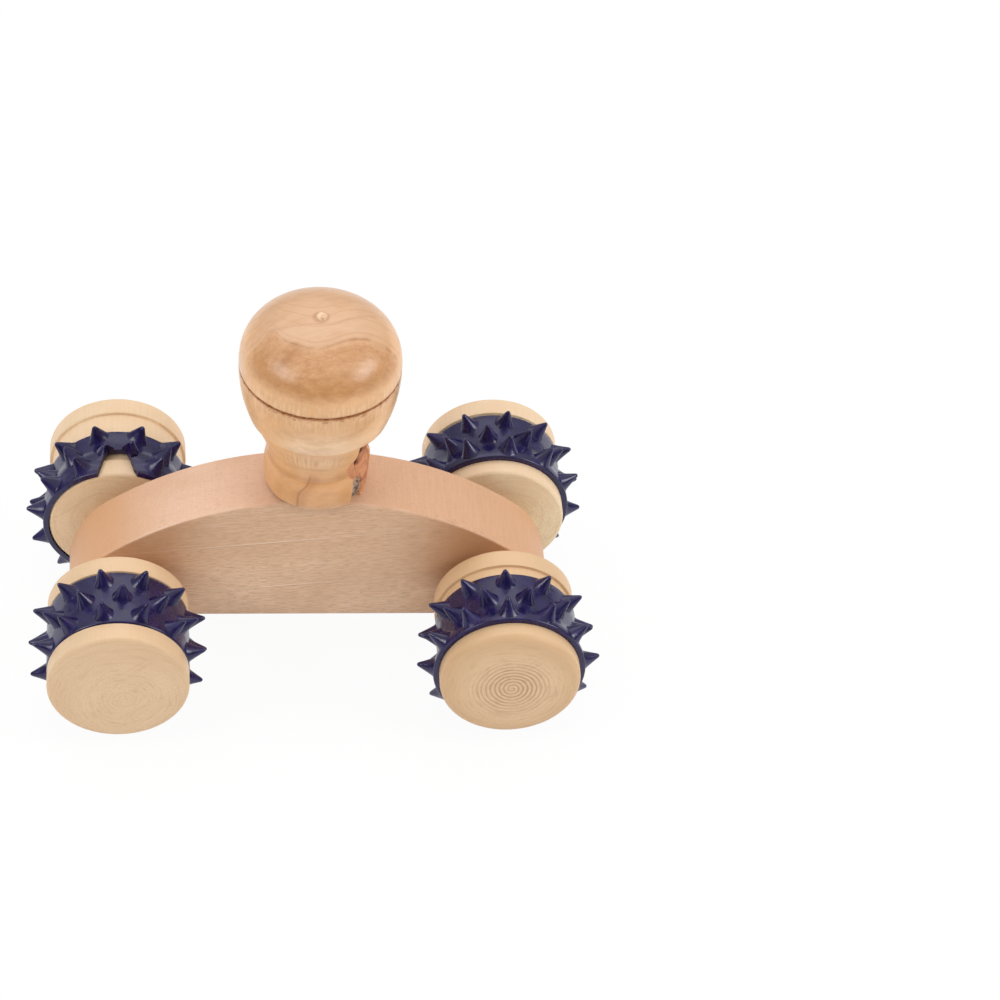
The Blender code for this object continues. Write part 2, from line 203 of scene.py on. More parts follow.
# reach: how much nearer to the block its hub's inner flange lies than usual
# turn: angle of the tyre's outer rows in degrees
# pith: centre of the growth rings on the hub's face, x and z in millimetres
# spiral and dashes: depth of the lathe's spiral and of the brown growth lines there
# side_wood and end_wood: colours along and across the hub's fibres
Wheel = namedtuple("Wheel", "body side_y reach face_round turn split pith spiral dashes side_wood end_wood")
WHEELS = {
    "front_left": Wheel(
        "left_wheelset", -1, 0.0, FLANGE_ROUND, 18.4, False,
        (1.8, -4.7), 0.05, 0.36, (0.71, 0.505, 0.312), (0.78, 0.56, 0.352),
    ),
    "front_right": Wheel(
        "right_wheelset", -1, 2.0 * MM, WORN_ROUND, 26.2, False,
        (0.5, -1.3), 0.62, 0.62, (0.65, 0.435, 0.246), (0.768, 0.53, 0.32),
    ),
    # The rear hubs' near faces and flanges are paler than their far faces: their wood's tone with painted
    # light added
    "rear_left": Wheel(
        "left_wheelset", 1, -0.4 * MM, FLANGE_ROUND, 15.0, True,
        (-3.0, 2.0), 0.03, 0.16, (0.788, 0.582, 0.38), (0.895, 0.69, 0.45),
    ),
    "rear_right": Wheel(
        "right_wheelset", 1, -1.2 * MM, FLANGE_ROUND, 8.0, False,
        (3.5, 1.0), 0.03, 0.16, (0.805, 0.6, 0.4), (0.945, 0.8, 0.54),
    ),
}

# Outer faces of the rear hubs, which the photograph doesn't show
FAR_FACE_WOOD = (0.8, 0.585, 0.372)

# Studio
FLOOR_RADIUS = 12.0
FLOOR_GLOW = 0.94
FLOOR_TONE = (0.94, 0.94, 0.94, 1.0)
WHITE = (1.0, 1.0, 1.0, 1.0)
ROOM_LIGHT = 0.14
OVERHEAD_LIGHT = 0.88
OVERHEAD_TILT = math.radians(16)
SOFTBOX_DISTANCE = 1.2
# name: (turn from the front towards +X and height angle in degrees, width, height, power in watts)
SOFTBOXES = {
    "left_softbox": (-62, 36, 0.62, 0.45, 5.4),
    "right_softbox": (72, 34, 0.62, 0.45, 6.4),
    "back_softbox": (-172, 57, 1.10, 0.64, 2.4),
}

# Camera: fitted to the photograph
CAMERA_LENS_MM = 144.53
CAMERA_SENSOR_MM = 36.0
CAMERA_DISTANCE = 1.1506
CAMERA_AZIMUTH = math.radians(-7.657)
CAMERA_ELEVATION = math.radians(44.82)
CAMERA_ROLL = math.radians(5.344)
CAMERA_TARGET = Vector((0.05376, 0, AXLE_HEIGHT + 0.02587))


# Mesh helpers

def link_object(name, data):
    made = bpy.data.objects.new(name, data)
    bpy.context.scene.collection.objects.link(made)
    return made


def add_object(name, shape, place):
    """Turn a bmesh into an object of the scene."""
    bmesh.ops.recalc_face_normals(shape, faces=shape.faces)
    mesh = bpy.data.meshes.new(name)
    shape.to_mesh(mesh)
    shape.free()
    made = link_object(name, mesh)
    made.location = place
    return made


def add_piece(name, shape, place, body, nodes, material):
    """Shown piece that rides on a body and stands for its solids."""
    piece = add_object(name, shape, place)
    piece.data.materials.append(material)
    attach(piece, body)
    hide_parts(*nodes)
    return piece


def smooth(piece):
    piece.data.shade_smooth()
    piece.data.set_sharp_from_angle(angle=SMOOTH_ANGLE)


def bake(piece, tools=()):
    """Fix the modifiers' result in the mesh and remove the objects that only cut or join it."""
    bpy.context.view_layer.update()
    evaluated = piece.evaluated_get(bpy.context.evaluated_depsgraph_get())
    mesh = bpy.data.meshes.new_from_object(evaluated)
    piece.modifiers.clear()
    piece.data = mesh
    for tool in tools:
        bpy.data.objects.remove(tool, do_unlink=True)


def add_boolean(piece, operation, tool):
    modifier = piece.modifiers.new(tool.name, "BOOLEAN")
    modifier.operation = operation
    modifier.solver = "EXACT"
    modifier.object = tool


def turned(outline, axis, steps):
    """Spin an outline of (distance along the axis, radius) points."""
    shape = bmesh.new()
    points = [shape.verts.new(axis * along + X_AXIS * radius) for along, radius in outline]
    edges = [shape.edges.new(pair) for pair in zip(points, points[1:])]
    bmesh.ops.spin(shape, geom=points + edges, axis=axis, angle=math.tau, steps=steps, use_merge=True)
    bmesh.ops.remove_doubles(shape, verts=shape.verts, dist=0.0005 * MM)
    return shape


def corner(along, radius, size, start, end, steps=4):
    """Quarter-round corner of an outline, about (along, radius), from one angle to another in degrees."""
    turns = [math.radians(angle) for angle in spaced(start, end, steps)]
    return [(along + size * math.sin(turn), radius + size * math.cos(turn)) for turn in turns]


def bridge(shape, lower, upper):
    """Faces between two rings of points."""
    for index in range(len(lower)):
        after = (index + 1) % len(lower)
        shape.faces.new((lower[index], lower[after], upper[after], upper[index]))


def blend(first, second, share):
    return first + (second - first) * share


def spaced(low, high, steps):
    return [blend(low, high, step / steps) for step in range(steps + 1)]


def smoothstep(value):
    value = min(1.0, max(0.0, value))
    return value * value * (3 - 2 * value)


# Shader helpers

# Sockets of a Mix node for colours
MIX_INPUTS = (0, 6, 7)
MIX_OUTPUT = 2


class Nodes:
    """Short calls that add nodes to a shader tree."""

    def __init__(self, tree):
        self.tree = tree

    def feed(self, socket, value):
        """Link a socket, or set its plain value."""
        if isinstance(value, bpy.types.NodeSocket):
            self.tree.links.new(value, socket)
        else:
            socket.default_value = value

    def add(self, kind, inputs=None, **settings):
        made = self.tree.nodes.new(kind)
        for name, value in settings.items():
            setattr(made, name, value)
        for name, value in (inputs or {}).items():
            self.feed(made.inputs[name], value)
        return made

    def calc(self, operation, *values, clamp=False):
        made = self.add("ShaderNodeMath", operation=operation, use_clamp=clamp)
        for socket, value in zip(made.inputs, values):
            self.feed(socket, value)
        return made.outputs[0]

    def times(self, first, *others):
        for value in others:
            first = self.calc("MULTIPLY", first, value)
        return first

    def mul_add(self, first, second, added):
        return self.calc("MULTIPLY_ADD", first, second, added)

    def most(self, first, second):
        return self.calc("MAXIMUM", first, second)

    def less(self, first, second):
        return self.calc("SUBTRACT", first, second)

    def ramp(self, value, low, high, to_low=0.0, to_high=1.0):
        """Smooth ramp between two values, level on both sides."""
        names = {"Value": value, "From Min": low, "From Max": high, "To Min": to_low, "To Max": to_high}
        return self.add("ShaderNodeMapRange", names, interpolation_type="SMOOTHSTEP").outputs[0]

    def bell(self, value, centre, width):
        """1 at the centre, falling off on both sides over the width."""
        offset = self.calc("DIVIDE", self.less(value, centre), width)
        return self.calc("EXPONENT", self.times(offset, offset, -1.0))

    def mix(self, share, first, second):
        """Colour between two, each of them a socket or plain."""
        made = self.add("ShaderNodeMix", data_type="RGBA")
        for index, value in zip(MIX_INPUTS, (share, first, second)):
            self.feed(made.inputs[index], (*value, 1.0) if isinstance(value, tuple) else value)
        return made.outputs[MIX_OUTPUT]

    def vector(self, **axes):
        return self.add("ShaderNodeCombineXYZ", axes).outputs[0]

    def axes(self, vector):
        return self.add("ShaderNodeSeparateXYZ", {"Vector": vector}).outputs

    def noise(self, vector, scale, detail=2.0, roughness=0.5, distortion=0.0):
        names = {"Vector": vector, "Scale": scale, "Detail": detail, "Roughness": roughness}
        return self.add("ShaderNodeTexNoise", {**names, "Distortion": distortion}).outputs[0]


class Material(Nodes):
    """New material, with its colour laid on in layers."""

    def __init__(self, name):
        self.material = bpy.data.materials.new(name)
        self.material.use_nodes = True
        super().__init__(self.material.node_tree)
        self.shader = self.tree.nodes["Principled BSDF"]
        # The piece's own coordinates
        self.place = self.add("ShaderNodeTexCoord").outputs["Object"]
        self.colour = None

    def stretched(self, stretch, turn=(0, 0, 0)):
        """Coordinates turned and then divided by stretch, so that a texture is drawn out along its axes."""
        names = {"Vector": self.place, "Rotation": turn, "Scale": stretch}
        return self.add("ShaderNodeMapping", names, vector_type="TEXTURE").outputs[0]

    def axes_mm(self):
        """The piece's three coordinates in millimetres."""
        return self.axes(self.stretched((MM, MM, MM)))

    def facing(self, axis):
        """How far the surface faces along one of the piece's own axes."""
        return self.axes(self.add("ShaderNodeTexCoord").outputs["Normal"])[axis]

    def stored(self, name):
        """Share stored on the mesh."""
        return self.add("ShaderNodeAttribute", attribute_name=name).outputs["Fac"]

    def sharpened(self, name, ragged):
        """Share stored on the mesh, with its soft edge broken up by noise."""
        return self.ramp(self.mul_add(ragged, 0.7, self.stored(name)), 0.38, 0.56)

    def paint(self, tone, *shares):
        """Lay a tone over the colour, as deep as the product of the shares."""
        self.colour = self.mix(self.times(*shares), self.colour, tone)

    def bump(self, height, distance, strength):
        names = {"Height": height, "Distance": distance, "Strength": strength}
        return self.add("ShaderNodeBump", names).outputs[0]

    def finished(self, roughness, normal, **others):
        """The material, with the shader's sockets linked or set."""
        sockets = {"Base Color": self.colour, "Roughness": roughness, "Normal": normal, **others}
        for name, value in sockets.items():
            self.feed(self.shader.inputs[name.replace("_", " ")], value)
        return self.material


# Materials

def block_material():
    """Pinkish tan plank: fibres along its length, pores, saw lines and two pale scratches, with a painted
    reflection on the top, painted floor light low on the front and painted shade beside the wheels.
    """
    mat = Material("block_wood")
    x, y, z = mat.axes_mm()
    across = mat.calc("ABSOLUTE", mat.facing(1))
    sawn = mat.ramp(across, 0.75, 0.95)
    end_grain = mat.ramp(mat.calc("ABSOLUTE", mat.facing(0)), 0.3, 0.85)
    along = (0, -GRAIN_TILT, 0)
    grain = mat.stretched((10, 1, 1), along)
    fibre = mat.noise(grain, 2800, 4, 0.66)
    saw = mat.noise(mat.stretched((34, 1, 1), along), 1900, 2, 0.6)
    sanding = mat.noise(mat.stretched((1, 18, 1)), 1900, 3, 0.6)
    streak = mat.noise(grain, 230, 3, 0.55, 0.6)
    cloud = mat.noise(mat.place, 34, 3, 0.55)
    pore = mat.noise(mat.stretched((5, 1, 1)), 2300, 1)

    # Paler patch on the top's left: painted reflection of the lamps in the satin varnish
    pale = mat.times(mat.bell(x, -38, 24), mat.ramp(cloud, 0.2, 0.5))
    mat.colour = mat.mix(pale, (0.66, 0.39, 0.238), (0.8, 0.525, 0.375))
    mat.paint((0.62, 0.34, 0.178), end_grain, 0.85)
    redder = mat.times(mat.bell(x, -59, 9), mat.ramp(cloud, 0.3, 0.6, 0.25, 0.7))
    mat.paint((0.64, 0.335, 0.16), redder)
    depth = mat.ramp(x, -10, 45, 0.1, 0.36)
    mat.paint((0.57, 0.3, 0.16), mat.ramp(sanding, 0.38, 0.62), depth)
    # Front faces paler towards the bottom: painted light bounced up from the floor
    front_tone_with_painted_bounce = mat.mix(mat.ramp(z, -9, 26), (0.88, 0.612, 0.415), (0.735, 0.462, 0.284))
    mat.paint(front_tone_with_painted_bounce, sawn)
    mat.paint((0.7, 0.445, 0.28), mat.ramp(cloud, 0.42, 0.7), sawn)
    depth = mat.mul_add(sawn, 0.32, 0.16)
    mat.paint((0.47, 0.265, 0.15), mat.ramp(fibre, 0.58, 0.36), depth)
    mat.paint((0.88, 0.67, 0.51), mat.ramp(saw, 0.56, 0.7), sawn, 0.34)
    mat.paint((0.6, 0.345, 0.205), mat.ramp(streak, 0.48, 0.74, 0, 0.22))
    mat.paint((0.4, 0.215, 0.125), mat.ramp(pore, 0.62, 0.78, 0, 0.36))
    # Painted shade on the front faces beside the wheels, warm and darker towards the ends
    painted_wheel_shade = mat.ramp(mat.mul_add(cloud, 16, mat.calc("ABSOLUTE", x)), 32, 54)
    depth = mat.ramp(x, -40, 40, 0.58, 0.85)
    mat.paint((0.45, 0.205, 0.084), painted_wheel_shade, sawn, mat.ramp(z, -2, 10), depth)
    on_front = mat.ramp(y, -9.5, -10.4)
    for height, middle, half in SCRATCHES:
        rise = mat.mul_add(x, -math.tan(GRAIN_TILT), z)
        reach = mat.times(mat.bell(x, middle, half), on_front, mat.ramp(streak, 0.35, 0.55, 0.35, 0.85))
        mat.paint((0.43, 0.24, 0.14), mat.bell(rise, height - 0.35, 0.2), reach, 0.6)
        mat.paint((0.9, 0.7, 0.54), mat.bell(rise, height, 0.2), reach)
    worn = mat.times(mat.bell(across, 0.6, 0.25), mat.ramp(cloud, 0.45, 0.62, 0, 0.35))
    mat.paint((0.86, 0.64, 0.47), worn)
    dashes = mat.noise(mat.stretched((4, 1, 1)), 800, 3, 0.6)
    at_edge = mat.times(mat.bell(x, 41, 9), mat.bell(y, -9.7, 1), mat.ramp(across, 0.85, 0.55))
    mat.paint((0.36, 0.19, 0.11), mat.ramp(dashes, 0.52, 0.64, 0, 0.55), at_edge)
    roughness = mat.ramp(fibre, 0.3, 0.7, 0.62, 0.46)
    height = mat.mul_add(sanding, 0.4, mat.mul_add(mat.times(saw, sawn), 0.8, fibre))
    normal = mat.bump(height, 0.07 * MM, 0.6)
    return mat.finished(roughness, normal, Coat_Weight=0.05, Coat_Roughness=0.3)


def knob_material():
    """Honey-coloured turned wood under satin varnish, with growth lines, torn grain and a pocket of bark,
    and painted shade in the cove, at the seat and round the nub.
    """
    mat = Material("knob_wood")
    x, y, z = mat.axes_mm()
    turn = mat.calc("ARCTAN2", x, mat.times(y, -1))
    waver = mat.less(mat.noise(mat.place, 150, 3, 0.55), 0.5)
    ragged = mat.less(mat.noise(mat.place, 700, 3, 0.6), 0.5)
    fibre = mat.noise(mat.stretched((1, 1, 14)), 1500, 4, 0.6)
    upright = mat.vector(X=mat.times(turn, 17), Z=mat.times(z, 0.1))
    chatter = mat.noise(upright, 1.3, 1)
    mottle = mat.noise(mat.stretched((2.5, 1, 1), (0, 0, 0.3)), 240, 4, 0.6)
    figure = mat.noise(mat.stretched((3, 1, 1), (0, 0.3, 0.2)), 620, 3, 0.6)

    # Growth layers stand upright across the dome; between two of them lies a pale lens
    layer = mat.mul_add(mat.bell(x, -1.2, 8), 4.9, y)
    layer = mat.mul_add(mat.bell(x, -13.4, 2.4), -4, layer)
    layer = mat.calc("ADD", mat.mul_add(waver, 0.7, layer), 6.3)
    behind = mat.most(mat.less(x, 3), 0)
    behind = mat.mul_add(behind, -0.55, mat.mul_add(waver, 1.6, y))
    behind = mat.calc("ADD", behind, 2.8)
    rings = mat.noise(mat.vector(X=layer), 0.75, 3, 0.6)
    low = mat.mul_add(waver, 3, z)
    honeyed = mat.times(mat.ramp(layer, 1.5, -3), mat.ramp(low, 47.6, 51.6))
    lens = mat.times(mat.ramp(layer, -1, 3), mat.ramp(x, 14.5, 9))
    lens = mat.times(lens, mat.ramp(behind, 2.2, -2.6, 0, 0.6))
    fold = mat.mul_add(x, -0.645, mat.mul_add(waver, 2, y))
    fold = mat.times(mat.bell(fold, -6.4, 1.7), mat.ramp(x, -3, -6), mat.ramp(low, 52, 56))

    # Tones from the foot to the dome, and the figure of the wood
    mat.colour = mat.mix(mat.ramp(z, 9, 20), (0.745, 0.388, 0.169), (0.785, 0.442, 0.199))
    # Painted shade in the cove just above the bead
    mat.paint((0.48, 0.215, 0.085), mat.bell(z, 11.6, 1.3), 0.35)
    pale = mat.times(mat.ramp(z, 25.5, 28), mat.ramp(x, -15, -5, 0.25, 1))
    mat.paint((0.898, 0.602, 0.36), pale)
    mat.paint((0.755, 0.425, 0.2), mat.ramp(z, 31, 40))
    mat.paint((0.645, 0.386, 0.222), mat.ramp(z, 50, 58))
    mat.paint((0.655, 0.412, 0.258), lens)
    honey = mat.mix(mat.ramp(low, 57.5, 51.5), (0.61, 0.325, 0.16), (0.56, 0.275, 0.11))
    mat.paint(honey, honeyed)
    mat.paint((0.52, 0.26, 0.11), mat.ramp(mottle, 0.42, 0.7, 0, 0.36))
    mat.paint((0.74, 0.47, 0.27), mat.ramp(figure, 0.46, 0.76, 0, 0.16))
    speck = mat.noise(mat.place, 1500, 3, 0.7)
    blotch = mat.noise(mat.stretched((2.6, 1, 1), (0, 0.2, 0.2)), 560, 5, 0.72)
    grainy = mat.mul_add(honeyed, 0.85, 0.15)
    mat.paint((0.44, 0.195, 0.068), mat.ramp(blotch, 0.44, 0.68, 0, 0.6), grainy)
    mat.paint((0.47, 0.23, 0.092), mat.ramp(speck, 0.46, 0.66, 0, 0.32), grainy)
    mat.paint((0.76, 0.48, 0.26), mat.ramp(blotch, 0.46, 0.3, 0, 0.3), grainy)
    depth = mat.ramp(z, 45, 53, 0.08, 0.56)
    mat.paint((0.47, 0.23, 0.095), mat.ramp(rings, 0.53, 0.7), depth)
    mat.paint((0.37, 0.155, 0.052), fold, honeyed, 0.5)

    # Torn fibres beside the groove and chatter marks on the neck
    above = mat.times(mat.bell(z, 45, 2.6), mat.ramp(fibre, 0.4, 0.64, 0, 0.62))
    below = mat.times(mat.bell(z, 41, 4.5), mat.ramp(fibre, 0.46, 0.62, 0, 0.4))
    mat.paint((0.83, 0.56, 0.33), mat.most(above, below))
    in_front = mat.ramp(y, -4, -8)
    chipped = mat.times(mat.bell(z, 21, 3.2), mat.ramp(x, 9, 6), mat.ramp(x, -11, -6), in_front)
    mat.paint((0.85, 0.56, 0.3), mat.ramp(chatter, 0.5, 0.64), chipped, 0.65)
    mat.paint((0.5, 0.24, 0.09), mat.ramp(chatter, 0.46, 0.34), chipped, 0.6)
    torn = mat.most(mat.bell(z, 43, 4.5), mat.times(chipped, 0.5))

    # Brown lines along the growth layers, and one at the foot
    broken = mat.ramp(mottle, 0.4, 0.62, 0.12, 0.62)
    brown = mat.times(mat.bell(layer, 0, 0.5), mat.ramp(z, 49, 53), broken)
    faint = mat.times(mat.bell(behind, 0, 0.5), mat.ramp(z, 56, 58, 0, 0.18))
    mat.paint((0.34, 0.14, 0.05), mat.most(brown, faint))
    bend = mat.calc("TANH", mat.mul_add(z, 0.45, -3.9))
    foot_line = mat.mul_add(bend, -1.75, mat.mul_add(waver, 1, x))
    halo = mat.times(mat.bell(foot_line, -2.6, 1.8), 0.4)
    line = mat.most(mat.times(mat.bell(foot_line, -3.5, 0.5), 0.75), halo)
    mat.paint((0.42, 0.165, 0.055), line, mat.ramp(z, 15, 12), in_front)

    # Groove, painted shadow and highlight where the foot sits on the block, pocket of bark, lathe nub and
    # painted shadow round it
    rim = mat.mul_add(ragged, 1.3, mat.less(z, KNOB_GROOVE_HEIGHT / MM))
    mat.paint((0.3, 0.088, 0.022), mat.bell(rim, 0, 0.58), 0.95)
    lip = mat.times(mat.bell(rim, -1, 0.5), mat.ramp(ragged, 0, 0.14, 0, 0.7))
    mat.paint((0.33, 0.115, 0.035), lip)
    stain = mat.ramp(ragged, -0.12, 0.06, 0.15, 0.85)
    mat.paint((0.19, 0.125, 0.095), mat.bell(turn, 1.26, 0.13), mat.bell(z, 40.2, 2.6), stain)
    seat = mat.mul_add(mat.times(x, x), 0.5 * MM / ARCH_RADIUS, z)
    seat = mat.mul_add(ragged, 1.5, seat)
    # Painted contact shadow under the foot's left side and painted highlight along its front bottom rim
    painted_contact_shadow_and_rim_highlight = mat.mix(mat.ramp(x, -8, -3), (0.22, 0.095, 0.035), (0.83, 0.6, 0.38))
    contact_shadow_and_rim_highlight_share = mat.times(mat.ramp(seat, 1.1, 0.2, 0, 0.7), mat.ramp(x, 10.5, 8))
    mat.paint(painted_contact_shadow_and_rim_highlight, contact_shadow_and_rim_highlight_share)
    bark = mat.sharpened("bark", ragged)
    bark_tone = mat.mix(mat.ramp(mottle, 0.38, 0.62), (0.43, 0.165, 0.077), (0.62, 0.275, 0.135))
    mat.paint(bark_tone, bark)
    pith = mat.sharpened("pith", ragged)
    pith_tone = mat.mix(mat.ramp(ragged, -0.14, 0.1), (0.13, 0.075, 0.048), (0.45, 0.335, 0.245))
    pith_edge = mat.bell(mat.stored("pith"), 0.45, 0.25)
    pith_tone = mat.mix(mat.times(pith_edge, 0.7), pith_tone, (0.62, 0.5, 0.4))
    mat.paint(pith_tone, pith)
    crack = mat.sharpened("crack", ragged)
    mat.paint((0.125, 0.052, 0.026), crack)
    raw = mat.times(mat.ramp(z, 60.52, 60.75), mat.ramp(ragged, -0.12, 0.08, 0.35, 1))
    off_axis = mat.calc("SQRT", mat.mul_add(x, x, mat.times(y, y)))
    # Painted shadow in a ring round the nub
    ring = mat.times(mat.bell(off_axis, 1.9, 0.5), mat.ramp(z, 59.5, 60.2, 0, 0.38))
    mat.paint((0.36, 0.15, 0.06), ring)
    mat.paint((0.84, 0.59, 0.385), raw)

    # Varnish, which the bark, the crack and the nub don't take
    rough = mat.most(mat.most(bark, pith), mat.most(crack, raw))
    roughness = mat.mul_add(rough, 0.4, mat.ramp(fibre, 0.3, 0.7, 0.48, 0.36))
    height = mat.times(fibre, mat.mul_add(torn, 1.6, 0.25))
    height = mat.mul_add(mat.times(ragged, rough), 5, height)
    normal = mat.bump(height, 0.08 * MM, 0.6)
    varnish = mat.mul_add(blotch, 2.4, mat.mul_add(ragged, 1.6, height))
    varnish = mat.mul_add(speck, 1.3, varnish)
    coat = mat.calc("MULTIPLY_ADD", rough, -0.5, 0.5, clamp=True)
    varnished = mat.bump(varnish, 0.06 * MM, 0.5)
    coating = {"Coat Weight": coat, "Coat Roughness": 0.14, "Coat Normal": varnished}
    return mat.finished(roughness, normal, Specular_IOR_Level=0.3, **coating)


def hub_material(name):
    """Pale turned wood: fibres along the axle, growth rings and the lathe's spiral on the end grain."""
    mat = Material(f"{name}_hub_wood")
    wheel = WHEELS[name]
    x, _, z = mat.axes_mm()
    across = mat.calc("ABSOLUTE", mat.facing(1))
    end = mat.ramp(across, 0.6, 0.9)
    fibre = mat.noise(mat.stretched((1, 22, 1)), 1400, 4, 0.6)
    ray_turn = (0, math.radians(-39), 0)
    rays = mat.noise(mat.stretched((14, 14, 1), ray_turn), 420, 2, 0.6, 0.6)
    cloud = mat.noise(mat.place, 75)
    waver = mat.less(mat.noise(mat.place, 130, 3, 0.55), 0.5)
    speck = mat.noise(mat.place, 2600, 2, 0.6)

    off_x = mat.less(x, wheel.pith[0])
    off_z = mat.less(z, wheel.pith[1])
    reach = mat.calc("SQRT", mat.mul_add(off_x, off_x, mat.times(off_z, off_z)))
    wavy = mat.mul_add(waver, 2.2, reach)
    rings = mat.noise(mat.vector(X=wavy), 0.55, 3, 0.65)

    mat.colour = mat.mix(end, wheel.side_wood, wheel.end_wood)
    if wheel.side_y > 0:
        mat.paint(FAR_FACE_WOOD, mat.ramp(mat.facing(1), 0.6, 0.9))
    depth = mat.mul_add(end, 0.1, 0.1)
    mat.paint((0.56, 0.35, 0.19), mat.ramp(fibre, 0.6, 0.36), depth)
    mat.paint((0.65, 0.415, 0.225), mat.ramp(rings, 0.46, 0.66), end, 0.24)
    mat.paint((0.6, 0.375, 0.205), mat.ramp(rays, 0.54, 0.7), end, 0.3)
    mat.paint((0.7, 0.465, 0.272), mat.ramp(cloud, 0.35, 0.68, 0, 0.34))
    bearing = mat.vector(
        X=mat.times(mat.calc("DIVIDE", off_x, reach), 2.2),
        Y=mat.times(mat.calc("DIVIDE", off_z, reach), 2.2),
        Z=mat.times(wavy, 1.5),
    )
    dashes = mat.noise(bearing, 1, 4, 0.65)
    mat.paint((0.54, 0.33, 0.165), mat.ramp(dashes, 0.5, 0.68), end, wheel.dashes)
    worn = mat.times(mat.ramp(reach, 11, 20), mat.ramp(across, 0.15, 0.5))
    mat.paint((0.6, 0.37, 0.19), worn, 1.8 * wheel.dashes**2)
    mat.paint((0.5, 0.31, 0.17), mat.ramp(speck, 0.62, 0.74), 0.16)

    turn = mat.calc("DIVIDE", mat.calc("ARCTAN2", off_z, off_x), math.tau)
    steps = mat.mul_add(waver, 0.6, mat.calc("DIVIDE", reach, LATHE_PITCH / MM))
    phase = mat.calc("FRACT", mat.calc("ADD", mat.calc("ADD", steps, turn), 1))
    mark = mat.calc("ABSOLUTE", mat.less(phase, 0.5))
    depth = mat.times(mat.ramp(reach, 15, 4.5, 0, wheel.spiral), mat.ramp(cloud, 0.35, 0.6, 0.55, 1))
    mark = mat.times(mat.ramp(mark, 0.32, 0.06), end, depth)
    mat.paint((0.33, 0.18, 0.085), mark)
    roughness = mat.ramp(fibre, 0.3, 0.7, 0.58, 0.45)
    height = mat.mul_add(mark, -4, mat.times(fibre, 0.5))
    normal = mat.bump(height, 0.06 * MM, 0.6)
    return mat.finished(roughness, normal, Coat_Weight=0.05, Coat_Roughness=0.3)


def rubber_material():
    """Deep navy moulded rubber: half glossy, a little uneven, with fine dust."""
    mat = Material("tyre_rubber")
    mottle = mat.noise(mat.place, 420, 3, 0.6)
    grain = mat.noise(mat.place, 4200)
    ripple = mat.noise(mat.place, 300)
    mat.colour = mat.mix(mat.ramp(mottle, 0.35, 0.65), (0.0058, 0.0024, 0.044), (0.011, 0.005, 0.072))
    mat.paint((0.3, 0.29, 0.33), mat.ramp(grain, 0.72, 0.78, 0, 0.25))
    roughness = mat.ramp(mottle, 0.3, 0.7, 0.2, 0.32)
    normal = mat.bump(mat.mul_add(ripple, 4, grain), 0.03 * MM, 0.3)
    return mat.finished(roughness, normal, IOR=1.52)


def dowel_material():
    """Plain dowel wood with fibres along its length."""
    mat = Material("dowel_wood")
    fibre = mat.noise(mat.stretched((1, 16, 1)), 1500, 4, 0.6)
    mat.colour = mat.mix(mat.ramp(fibre, 0.33, 0.68), (0.54, 0.36, 0.205), (0.68, 0.48, 0.3))
    roughness = mat.ramp(fibre, 0.3, 0.7, 0.7, 0.55)
    return mat.finished(roughness, mat.bump(fibre, 0.04 * MM, 0.4))


# Arched block

def block_outline():
    """Arch, shoulders, end walls and underside as (x, z) points, with z from the axles' height."""
    half_length = BLOCK_HIGH.x
    crown = BLOCK_HIGH.z - AXLE_HEIGHT
    arch_centre = crown - ARCH_RADIUS
    shoulder_x = half_length - SHOULDER_RADIUS
    shoulder_z = arch_centre + math.sqrt((ARCH_RADIUS - SHOULDER_RADIUS) ** 2 - shoulder_x**2)
    meeting = math.atan2(shoulder_x, shoulder_z - arch_centre)
    half = []
    arch_steps, shoulder_steps = 32, 24
    for step in range(1, arch_steps + 1):
        angle = meeting * step / arch_steps
        half.append((ARCH_RADIUS * math.sin(angle), arch_centre + ARCH_RADIUS * math.cos(angle)))
    for step in range(1, shoulder_steps + 1):
        angle = blend(meeting, math.pi / 2, step / shoulder_steps)
        x = shoulder_x + SHOULDER_RADIUS * math.sin(angle)
        half.append((x, shoulder_z + SHOULDER_RADIUS * math.cos(angle)))
    half.append((half_length, BLOCK_LOW.z - AXLE_HEIGHT))
    return [(-x, z) for x, z in reversed(half)] + [(0, crown)] + half


def make_block(material):
    shape = bmesh.new()
    front = [shape.verts.new((x, BLOCK_LOW.y, z)) for x, z in block_outline()]
    face = shape.faces.new(front)
    back = bmesh.ops.extrude_face_region(shape, geom=[face])["geom"]
    moved = [part for part in back if isinstance(part, bmesh.types.BMVert)]
    bmesh.ops.translate(shape, verts=moved, vec=Y_AXIS * (BLOCK_HIGH.y - BLOCK_LOW.y))
    place = Z_AXIS * AXLE_HEIGHT
    block = add_piece("body_sawn", shape, place, "carriage", ["body"], material)

    edges = block.modifiers.new("eased_edges", "BEVEL")
    edges.width = BLOCK_EDGE
    edges.segments = 4
    edges.limit_method = "ANGLE"
    edges.angle_limit = SMOOTH_ANGLE

    bore = [(-HUB_IN, 0), (-HUB_IN, AXLE_BORE_RADIUS), (HUB_IN, AXLE_BORE_RADIUS), (HUB_IN, 0)]
    tools = []
    for name, axle in AXLES.items():
        tools.append(add_object(f"bore_{name}", turned(bore, Y_AXIS, HOLE_STEPS), axle))
    low = BLOCK_HIGH.z - DOWEL_HOLE_DEPTH
    hole = [(low, 0), (low, DOWEL_HOLE_RADIUS), (KNOB_HIGH.z, DOWEL_HOLE_RADIUS), (KNOB_HIGH.z, 0)]
    tools.append(add_object("dowel_hole", turned(hole, Z_AXIS, HOLE_STEPS), Vector()))
    for tool in tools:
        add_boolean(block, "DIFFERENCE", tool)
    bake(block, tools)
    smooth(block)


# Palm knob

